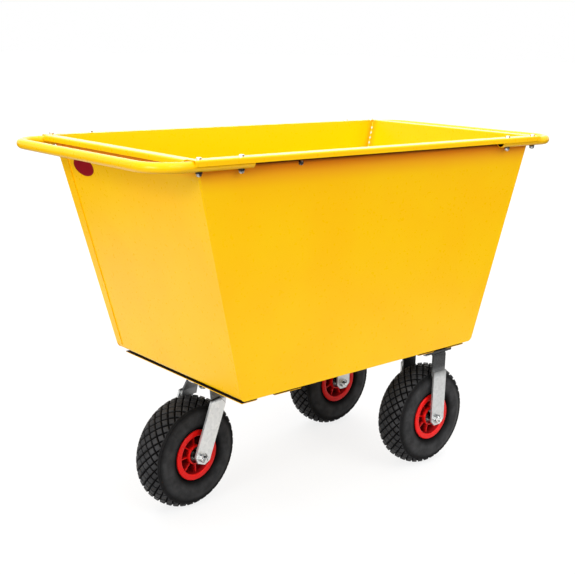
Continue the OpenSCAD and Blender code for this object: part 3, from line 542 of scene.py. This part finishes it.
for name, node in nodes.items():
    finish = FIXINGS
    if name in ("tub_pan", "left_side_panel", "right_side_panel"):
        finish = TUB
    elif name.endswith("_handle"):
        finish = HANDLE
    elif name.endswith("_cross_member"):
        finish = MEMBER
    elif name in ("swivel_fork", "swivel_plate"):
        finish = SWIVEL_STRIP
    elif name.endswith("_fork"):
        finish = LEFT_STRIP if name.startswith("left") else RIGHT_STRIP
    elif name == "handle_washers":
        finish = BLACK
    elif name == "swivel_balls" or name.endswith(("_bearings", "_spacers")):
        finish = BEARING
    elif name.endswith("_rim"):
        finish = RED
    elif name.endswith("_tyre"):
        finish = TREAD
    elif name.endswith("_inner_tube"):
        finish = TUBE
    elif name == "badge_plate":
        finish = ENAMEL
    node.data.materials.clear()
    node.data.materials.append(finish)


# Tyres: pairs are the start and the end of a smooth step, in millimetres along the section or from a line

TYRE_R, TYRE_HALF_W, TYRE_MID_R, TYRE_POWER = 130.0, 44.0, 88.4, 2.5
TYRE_RISE, TYRE_FOOT_R, TYRE_WALL, TYRE_HOLLOW = TYRE_R - TYRE_MID_R, 60.3, 6.0, 11.0
BEAD_OUT, BEAD_IN, BEAD_R, INNER_HALF_W = 33.2, 26.7, 48.3, 36.0
BLOCKS, BLOCK_ACROSS, GROOVE_DEPTH, GROOVE_HALF, TREAD_HALF = 34, 22.0, 4.0, (1.2, 2.6), 42.0
TREAD_END, SHOULDER, SHOULDER_STEP, STEP_FADE = (38.5, 41.5), (39.0, 41.5), 1.1, (52.0, 66.0)
RING_AT, RING_HIGH, RING_WIDE = 46.0, 1.3, 0.9
FOOT_SHADE, SHOULDER_SHADE, TYRE_SHADE_FROM, TYRE_SHADE_FADE = (1.0, 22.0), 0.75, (39.0, 42.0), (46.0, 62.0)
TREAD_TURN = {"front": 0.22, "left": 0.55, "right": 0.0}


def tyre_half():
    """Half of the tyre's outer section from the crown to the bead, as radius, distance from the middle and
    arc length: a superellipse, |r - mid|^2.5 / rise^2.5 + |y|^2.5 / half width^2.5 = 1, with a smooth step
    down to the bead over the last 11 mm, which is the hollow round the rim's flange."""
    a = np.linspace(0, 1, 900) * math.radians(150)
    r = TYRE_MID_R + TYRE_RISE * np.sign(np.cos(a)) * np.abs(np.cos(a)) ** (2 / TYRE_POWER)
    y = TYRE_HALF_W * np.abs(np.sin(a)) ** (2 / TYRE_POWER)
    keep = r >= TYRE_FOOT_R
    r, y = r[keep], y[keep]
    start = TYRE_FOOT_R + 0.7
    hollow = BEAD_OUT + 0.2 + 0.87 * TYRE_HOLLOW * smooth(start, start + TYRE_HOLLOW, r)
    y = np.where(r < start + TYRE_HOLLOW, np.minimum(y, hollow), y)
    s = np.r_[0, np.cumsum(np.hypot(np.diff(r), np.diff(y)))]
    return r, y, s


def tyre_rings(centre, across, axis, turn):
    """A tyre as a closed tube of rings, with how much shade is painted at each point: the section's distance
    round its outline is one parameter, the angle round the axle the other. Two families of slanting grooves
    cut the
    tread into diamonds: a point's depth follows its distance to the nearest line of each family, and ends at
    the shoulder, where the wall steps back. A narrow raised ring runs round below the shoulder. Shade is
    painted in the grooves, under the shoulder and round the rim."""
    r, y, s = tyre_half()
    tread = np.linspace(-TREAD_HALF, TREAD_HALF, 85)
    wall = np.r_[RING_AT + np.array([-3.0, -1.8, -0.8, 0.0, 0.8, 1.8]), np.linspace(49.5, s[-1], 18)]
    stations = np.r_[-wall[::-1], tread, wall]
    reach, side = np.abs(stations), np.sign(stations)
    base_r, base_y = np.interp(reach, s, r), np.interp(reach, s, y) * side
    d_r = np.interp(reach + 0.2, s, r) - np.interp(reach - 0.2, s, r)
    d_y = np.interp(reach + 0.2, s, y) - np.interp(reach - 0.2, s, y)
    size = np.hypot(d_r, d_y)
    inward_r, inward_y = -d_y / size, d_r / size * side
    angles = np.linspace(0, 2 * math.pi, 18 * BLOCKS, endpoint=False)
    around = angles[None] * BLOCKS / (2 * math.pi) + turn
    over = stations[:, None] / BLOCK_ACROSS
    pitch = 2 * math.pi * TYRE_R / BLOCKS
    gap = pitch * BLOCK_ACROSS / math.hypot(pitch, BLOCK_ACROSS)
    first, second = around + over, around - over
    near = np.minimum(np.abs(first - np.round(first)), np.abs(second - np.round(second))) * gap
    reach = reach[:, None]
    groove = (1 - smooth(*GROOVE_HALF, near)) * (1 - smooth(*TREAD_END, reach))
    step = SHOULDER_STEP * smooth(*SHOULDER, reach) * (1 - smooth(*STEP_FADE, reach))
    depth = np.maximum(GROOVE_DEPTH * groove, step)
    depth = depth - RING_HIGH * np.exp(-((reach - RING_AT) / RING_WIDE) ** 2)
    radius = base_r[:, None] + inward_r[:, None] * depth
    offset = base_y[:, None] + inward_y[:, None] * depth
    k = np.linspace(-1, 1, 13)
    inner_r = np.r_[TYRE_FOOT_R, BEAD_R, BEAD_R, TYRE_FOOT_R + 3,
                    TYRE_MID_R + (TYRE_RISE - TYRE_WALL) * np.sqrt(1 - k ** 2 * 0.55),
                    TYRE_FOOT_R + 3, BEAD_R, BEAD_R, TYRE_FOOT_R]
    inner_y = np.r_[BEAD_OUT, BEAD_OUT, BEAD_IN, BEAD_IN, -k * INNER_HALF_W,
                    -BEAD_IN, -BEAD_IN, -BEAD_OUT, -BEAD_OUT]
    ones = np.ones(len(angles))
    radius = np.concatenate([radius, inner_r[:, None] * ones])
    offset = np.concatenate([offset, inner_y[:, None] * ones])
    # Painted shade: full in the grooves and round the rim, three quarters in a band under the shoulder
    foot = 1 - smooth(*FOOT_SHADE, base_r - TYRE_FOOT_R)
    shoulder = SHOULDER_SHADE * smooth(*TYRE_SHADE_FROM, reach) * (1 - smooth(*TYRE_SHADE_FADE, reach))
    tyre_shade = np.maximum(groove, np.maximum(foot[:, None], shoulder))
    marks = np.concatenate([tyre_shade, 0 * inner_r[:, None] * ones])
    spokes = np.cos(angles)[:, None] * across + np.sin(angles)[:, None] * UP
    return centre + radius[..., None] * spokes[None] + offset[..., None] * axis, marks


# Rims: pairs are the start and the end of a smooth step, from a rib's middle or from the wheel's middle

RIBS, HUB_R, RECESS_R, BARREL_IN, LIP_IN, FLANGE_R = 8, 23.0, 19.0, 45.0, 47.0, 60.0
RIM_HALF, RIM_FOOT, HUB_HALF, WEB, RIB_OUT, RIB_HALF = 39.0, 33.5, 37.0, 4.0, 30.5, (1.4, 2.5)
BORE_R, SEAT_R, SEAT_IN, SEAT_OUT, BARREL_OUT = 10.5, 14.05, 23.0, 31.0, 48.0
POCKET_IN, POCKET_OUT = (24.0, 32.0), (36.5, 38.6)
RIB_TURN = {"front": 4.5, "left": 35.5, "right": 22.5}


def rim_rings(centre, across, axis, turn):
    """A rim as a closed tube of rings, with how much shade is painted at each point, deep in a pocket or in
    the hub's recess: the section runs from the hub's bore over the hub, the web, the flange and the barrel
    and back on the other side. Between hub and barrel the web's height is lifted to the top of a rib where
    the angle is within half a rib's breadth of one, with a soft slope."""
    angles = np.linspace(0, 2 * math.pi, 600, endpoint=False)
    ones = np.ones(len(angles))
    web_r = np.linspace(HUB_R + 0.6, BARREL_IN - 0.6, 14)
    share = (angles - math.radians(turn)) * RIBS / (2 * math.pi)
    swing = np.abs((share + 0.5) % 1 - 0.5) * 2 * math.pi / RIBS
    lift = 1 - smooth(*RIB_HALF, web_r[:, None] * swing[None])
    corner = smooth(0, 3, web_r - HUB_R - 0.6)[:, None] * smooth(0, 3, BARREL_IN - 0.6 - web_r)[:, None]
    web_y = WEB + (RIB_OUT - WEB) * lift + 1.5 * (1 - corner) * (1 - lift)
    hub = np.array([[BORE_R, 0], [BORE_R, SEAT_IN], [SEAT_R, SEAT_IN], [SEAT_R, SEAT_OUT - 0.6],
                    [SEAT_R + 0.55, SEAT_OUT], [RECESS_R - 0.6, SEAT_OUT], [RECESS_R, SEAT_OUT + 0.6],
                    [RECESS_R, HUB_HALF - 1], [RECESS_R + 0.3, HUB_HALF - 0.3], [RECESS_R + 1, HUB_HALF],
                    [HUB_R - 1.2, HUB_HALF], [HUB_R - 0.35, HUB_HALF - 0.35], [HUB_R, HUB_HALF - 1.2]])
    k = np.linspace(0, 1, 6)[1:-1]
    hub_wall_y = (HUB_HALF - 1.2) * (1 - k[:, None]) + web_y[0][None] * k[:, None]
    hub_wall_r = (HUB_R + 0.6 * k ** 3)[:, None] * ones
    barrel_wall_y = (RIM_FOOT - 1) * k[:, None] + web_y[-1][None] * (1 - k[:, None])
    barrel_wall_r = (BARREL_IN - 0.6 * (1 - k) ** 3)[:, None] * ones
    lip = np.array([[BARREL_IN, RIM_FOOT], [BARREL_IN + 0.7, RIM_HALF - 3], [LIP_IN - 0.6, RIM_HALF - 1],
                    [LIP_IN, RIM_HALF - 0.3], [LIP_IN + 1, RIM_HALF], [FLANGE_R - 2.2, RIM_HALF],
                    [FLANGE_R - 0.6, RIM_HALF - 0.6], [FLANGE_R, RIM_HALF - 2.2], [FLANGE_R, RIM_FOOT + 1.5],
                    [FLANGE_R - 1.5, RIM_FOOT], [BARREL_OUT + 1, RIM_FOOT], [BARREL_OUT, RIM_FOOT - 1]])
    half_r = np.concatenate([hub[:, :1] * ones, hub_wall_r, web_r[:, None] * ones, barrel_wall_r,
                             lip[:, :1] * ones])
    half_y = np.concatenate([hub[:, 1:] * ones, hub_wall_y, web_y, barrel_wall_y, lip[:, 1:] * ones])
    radius = np.concatenate([half_r, half_r[:0:-1]])
    offset = np.concatenate([half_y, -half_y[:0:-1]])
    depth = np.abs(offset)
    # Painted shade: full deep in the pockets and in the hub's recess, none on the flange's face
    inside = np.where(radius > BARREL_IN - 0.7, 1 - smooth(*POCKET_OUT, depth), 1 - smooth(*POCKET_IN, depth))
    inside = inside * (1 - smooth(FLANGE_R - 3, FLANGE_R - 2, radius))
    inside = np.maximum(inside, 1 - smooth(RECESS_R, RECESS_R + 0.5, radius))
    spokes = np.cos(angles)[:, None] * across + np.sin(angles)[:, None] * UP
    return centre + radius[..., None] * spokes[None] + offset[..., None] * axis, inside


def fixings(name, parts, body, node):
    """A piece of zinc-plated fixings that stands for one node, with its hexagons' edges kept sharp."""
    piece(name, parts, body, FIXINGS, 25, [node])


for which, (centre, across, axis) in WHEELS.items():
    body = f"{which}_wheel"
    rings, groove = tyre_rings(centre, across, axis, TREAD_TURN[which])
    # The tyre's mark is painted shade
    piece(f"{which}_tyre_tread", [loft(rings, True)], body, TREAD, 60, [f"{which}_tyre"],
          {"groove": groove})
    rings, pocket = rim_rings(centre, across, axis, RIB_TURN[which])
    # The rim's mark is painted shade
    piece(f"{which}_rim_moulding", [loft(rings, True)], body, RED, 50, [f"{which}_rim"],
          {"pocket": pocket})
    carrier = "swivel" if which == "front" else "cart"
    head = fastener(centre + ARM_OUT * axis, axis, across, M12_FLATS, M12_HEAD, M12_R, 2 * ARM_OUT + 2)
    fixings(f"{which}_axle_bolt_head", [head], carrier, f"{which}_axle_bolt")
    nut = fastener(centre - ARM_OUT * axis, -axis, across, M12_FLATS, M12_NUT, M12_R, M12_TIP, True)
    fixings(f"{which}_axle_nut_hex", [nut], carrier, f"{which}_axle_nut")

# Bolts and nuts of the handles, the side panel and the caster plates

CORNERS = [(sx, sy) for sx in (-1, 1) for sy in (-1, 1)]
bolt_places = [np.array([sx * x, sy * HANDLE_Y, 0.0]) for x in HANDLE_BOLT_XS for sx, sy in CORNERS]
grip = RIM_Z - HANDLE_NUT_Z
heads = [fastener(p + RIM_Z * UP, UP, EAST, M6_FLATS, M6_HEAD, M6_R, grip) for p in bolt_places]
fixings("handle_bolt_heads", heads, "cart", "handle_bolts")
hexes = [fastener(p + HANDLE_NUT_Z * UP, -UP, EAST, M6_FLATS, M6_NUT, M6_R, M6_TIP, True)
         for p in bolt_places]
fixings("handle_nut_hexes", hexes, "cart", "handle_nuts")
side_z = RIM_Z - SIDE_BOLT_DROP
side_out = np.array([0, -1, -SIDE_RUN]) / math.hypot(1, SIDE_RUN)
side_at = np.array([SIDE_BOLT_X, -side_y(side_z), side_z])
nut = fastener(side_at, side_out, EAST, M6_FLATS, M6_NUT, M6_R, M6_TIP, True)
fixings("side_nut_hex", [nut], "cart", "side_nut")
head = fastener(side_at - SHEET * side_out, -side_out, EAST, M6_FLATS, M6_HEAD, M6_R, SHEET)
fixings("side_bolt_head", [head], "cart", "side_bolt")
plate_places = [c + np.array([sx * PLATE_HOLE_X, sy * PLATE_HOLE_Y, PLATE_Z])
                for c in (KINGPIN, np.array([REAR_X, -REAR_Y, 0]), np.array([REAR_X, REAR_Y, 0]))
                for sx, sy in CORNERS]
heads = [fastener(p, -UP, EAST, M8_FLATS, M8_HEAD, M8_R, PLATE_GRIP) for p in plate_places]
fixings("plate_bolt_heads", heads, "cart", "plate_bolts")

# Welds and painted glints

BEAD_HALF, BEAD_LIFT, BEAD_OFF, FIXED_BEAD = 1.9, 0.6, 0.4, 22.0
CORNER_HALF, CORNER_RIPPLE, CORNER_LOW, CORNER_HIGH = 2.4, 9.0, 14.0, 5.0
DAB_HALF, DAB_RIPPLE, DAB_LONG, DAB_STEP, DAB_IN = 2.3, 20.0, 7.5, 14.0, 1.2
DABS_LOW, DABS_HIGH = 30.0, 16.0
SPOT_R, SPOT_HIGH, SPOT_FOOT, SPOTS, SPOTS_LOW, SPOTS_HIGH = 4.0, 0.5, 0.4, 8, 36.0, 40.0

arm_run = (TRAIL - ARM_SHIFT) / (ARM_TOP - AXLE_Z)
arm_half = FORK_W / 2 * math.sqrt(1 + arm_run ** 2)
swivel_line = [(-arm_half, ARM_TOP), (ARM_SHIFT, ARM_TOP + ARM_PEAK),
               (arm_half - ARM_SLANT * arm_run, ARM_TOP - ARM_SLANT)]
fork_beads = []
for side in (-1, 1):
    arm_face = KINGPIN + side * (ARM_IN + BEAD_OFF) * FORK_Y
    fork_beads.append(weld_bead([arm_face + x * FORK_X + (z + BEAD_LIFT) * UP for x, z in swivel_line],
                                BEAD_HALF))
piece("swivel_fork_welds", fork_beads, "swivel", WELD)
for side, which, strip in ((-1, "left", LEFT_STRIP), (1, "right", RIGHT_STRIP)):
    fork = np.array([REAR_X + ARM_SHIFT, side * REAR_Y, ARM_TOP + BEAD_LIFT])
    arm_faces = [fork + t * (ARM_IN + BEAD_OFF) * NORTH for t in (-1, 1)]
    beads = [weld_bead([face - FIXED_BEAD * EAST, face + FIXED_BEAD * EAST], BEAD_HALF) for face in arm_faces]
    piece(f"{which}_fork_welds", beads, "cart", strip)


def inner_corner(sx, sy, z, inset=0.0):
    """A point of the tub's upright inner corner at height z, moved inwards by the inset."""
    return np.array([sx * (end_x(z) - END_SKIN - inset), sy * (side_y(z) - SIDE_SKIN - inset), z])


corner_beads = [
    weld_bead([inner_corner(sx, sy, z) for z in (FLOOR_Z + CORNER_LOW, RIM_Z - CORNER_HIGH)],
              CORNER_HALF, CORNER_RIPPLE)
    for sx, sy in CORNERS
]
piece("tub_corner_welds", corner_beads, "cart", YELLOW)
# Painted glints: short cream white dabs up each inner corner stand for highlights
glint_dabs = [
    weld_bead([inner_corner(sx, sy, h, DAB_IN) for h in (z, z + DAB_LONG)], DAB_HALF, DAB_RIPPLE)
    for sx, sy in CORNERS
    for z in np.arange(FLOOR_Z + DABS_LOW, RIM_Z - DABS_HIGH, DAB_STEP)
]
piece("corner_glint_dabs", glint_dabs, "cart", GLINT_WHITE)


def spot_weld(centre, axis):
    """A shallow dome, half an ellipsoid: the radius falls off with the root of one less the square of the
    share of the height. A short foot sinks into the sheet."""
    k = np.linspace(0, 1, 5)[1:]
    radius = np.r_[SPOT_R, SPOT_R * np.sqrt(1 - k ** 2) + 0.2]
    height = np.r_[-SPOT_FOOT, SPOT_HIGH * k]
    angles = np.linspace(0, 2 * math.pi, 14, endpoint=False)
    return loft(turned(radius[:, None], height, angles, centre, NORTH, np.cross(axis, NORTH), axis), False)


spots = []
for sx, sy in CORNERS:
    out = np.array([sx, 0, -END_RUN]) / math.hypot(1, END_RUN)
    for z in np.linspace(FLOOR_Z + SPOTS_LOW, RIM_Z - SPOTS_HIGH, SPOTS):
        lap = LAP_FLOOR + (LAP_RIM - LAP_FLOOR) * (z - FLOOR_Z) / (RIM_Z - FLOOR_Z)
        at = np.array([sx * (end_x(z) + END_SKIN), sy * (side_y(z) - lap / 2 - 1), z])
        spots.append(spot_weld(at, out))
piece("lap_spot_welds", spots, "cart", YELLOW, 70)

# Camera, floor and light

CAMERA_AT, YAW, PITCH, ROLL = (-1585.55, -1772.81, 1053.37), 41.057, -13.859, 1.301
IMAGE_PX, FOCAL_PX, SENSOR = 575, 993.73, 36
PAPER_HALF, PAPER_DROP = 60000.0, 0.4
LIGHT_END = (1200.0, 2300.0)

camera = bpy.data.objects.new("camera", bpy.data.cameras.new("camera"))
bpy.context.scene.collection.objects.link(camera)
yaw, pitch, roll = np.radians([YAW, PITCH, ROLL])
ahead = np.array([math.sin(yaw) * math.cos(pitch), math.cos(yaw) * math.cos(pitch), math.sin(pitch)])
right = np.array([math.cos(yaw), -math.sin(yaw), 0])
above = np.cross(right, ahead)
right, above = (math.cos(roll) * right + math.sin(roll) * above,
                math.cos(roll) * above - math.sin(roll) * right)


def placed(columns, origin):
    """An object matrix from its three axes and its origin in millimetres."""
    made = np.eye(4)
    made[:3, :3] = np.stack(columns, 1)
    made[:3, 3] = np.array(origin) * MM
    return Matrix(made.tolist())


camera.matrix_world = placed((right, above, -ahead), CAMERA_AT)
camera.data.sensor_width = SENSOR
camera.data.sensor_fit = "HORIZONTAL"
camera.data.lens = SENSOR * FOCAL_PX / IMAGE_PX
camera.data.clip_end = 200
bpy.context.scene.camera = camera

floor_mesh = bpy.data.meshes.new("floor")
outline = np.array([(-1, -1), (1, -1), (1, 1), (-1, 1)]) * PAPER_HALF
corners = np.column_stack([outline, np.full(4, -PAPER_DROP)]) * MM
floor_mesh.from_pydata(corners.tolist(), [], [(0, 1, 2, 3)])
floor = bpy.data.objects.new("floor", floor_mesh)
bpy.context.scene.collection.objects.link(floor)
world = bpy.data.worlds.new("studio")
world.use_nodes = True
bpy.context.scene.world = world


def seen(tree):
    """1 for rays from the camera, from gloss and through glass, which see the white of the backdrop."""
    ray = add(tree, "ShaderNodeLightPath")
    direct = add(tree, "ShaderNodeMath", {"operation": "MAXIMUM"}, i0=ray.outputs["Is Camera Ray"],
                 i1=ray.outputs["Is Glossy Ray"])
    return add(tree, "ShaderNodeMath", {"operation": "MAXIMUM"}, i0=direct.outputs[0],
               i1=ray.outputs["Is Transmission Ray"]).outputs[0]


# Matt white paper, a roll with faint clouds of 300 mm: it glows white where it is looked at, apart from the
# shadow. In a gloss its shadow is deeper, and it fades out far from the middle, where the light on it ends
paper, tree, shader, place = material("white_paper_floor")
fibre = add(tree, "ShaderNodeTexNoise", Vector=place, Scale=per_metre(300), Detail=2.0)
looked_at = seen(tree)
tone = add(tree, "ShaderNodeMix", {"data_type": "RGBA"}, i0=fibre.outputs[0],
           i6=linear("#8E8E8E"), i7=linear("#929292"))
pale = add(tree, "ShaderNodeMix", {"data_type": "RGBA"}, i0=looked_at, i6=tone.outputs[2],
           i7=linear("#FBFBFB"))
away = add(tree, "ShaderNodeVectorMath", {"operation": "LENGTH"}, i0=place)
unlit = add(tree, "ShaderNodeMapRange", {"interpolation_type": "SMOOTHSTEP"}, Value=away.outputs["Value"],
            From_Min=LIGHT_END[0] * MM, From_Max=LIGHT_END[1] * MM)
in_gloss = add(tree, "ShaderNodeLightPath").outputs["Is Glossy Ray"]
unlit = add(tree, "ShaderNodeMath", {"operation": "MULTIPLY"}, i0=unlit.outputs[0], i1=in_gloss)
pale = add(tree, "ShaderNodeMix", {"data_type": "RGBA"}, i0=unlit.outputs[0], i6=pale.outputs[2],
           i7=linear("#141414"))
glow = add(tree, "ShaderNodeMath", {"operation": "SUBTRACT"}, i0=1.0, i1=unlit.outputs[0])
matt = add(tree, "ShaderNodeBsdfDiffuse", Color=pale.outputs[2])
white = add(tree, "ShaderNodeEmission", Strength=glow.outputs[0])
share = add(tree, "ShaderNodeMath", {"operation": "MULTIPLY"}, i0=looked_at, i1=0.8)
share = add(tree, "ShaderNodeMath", {"operation": "MULTIPLY_ADD"}, i0=in_gloss, i1=-0.4, i2=share.outputs[0])
mixed = add(tree, "ShaderNodeMixShader", i0=share.outputs[0], i1=matt.outputs[0], i2=white.outputs[0])
tree.links.new(mixed.outputs[0], tree.nodes["Material Output"].inputs["Surface"])
floor_mesh.materials.append(paper)

tree = world.node_tree
level = add(tree, "ShaderNodeMapRange", Value=seen(tree), To_Min=0.28, To_Max=1.0)
tree.links.new(level.outputs[0], tree.nodes["Background"].inputs["Strength"])
tree.nodes["Background"].inputs["Color"].default_value = (1, 1, 1, 1)


def softbox(name, direction, strength, spread):
    """A far, wide soft light that comes from the direction given, as wide in degrees as its spread."""
    lamp = bpy.data.lights.new(name, "SUN")
    lamp.energy = strength
    lamp.angle = math.radians(spread)
    made = bpy.data.objects.new(name, lamp)
    bpy.context.scene.collection.objects.link(made)
    back = np.array(direction) / np.linalg.norm(direction)
    side = np.cross(UP, back)
    side /= np.linalg.norm(side)
    made.matrix_world = placed((side, np.cross(back, side), back), (0, 0, 3000))


softbox("front", (0.1, -1.0, 0.72), 1.5, 45)
softbox("left", (-1.0, -0.3, 0.32), 2.45, 30)
softbox("back", (0.6, 0.8, 0.5), 1.1, 60)
softbox("top", (0.05, 0.05, 1.0), 2.2, 80)

bpy.context.scene.view_settings.view_transform = "Standard"
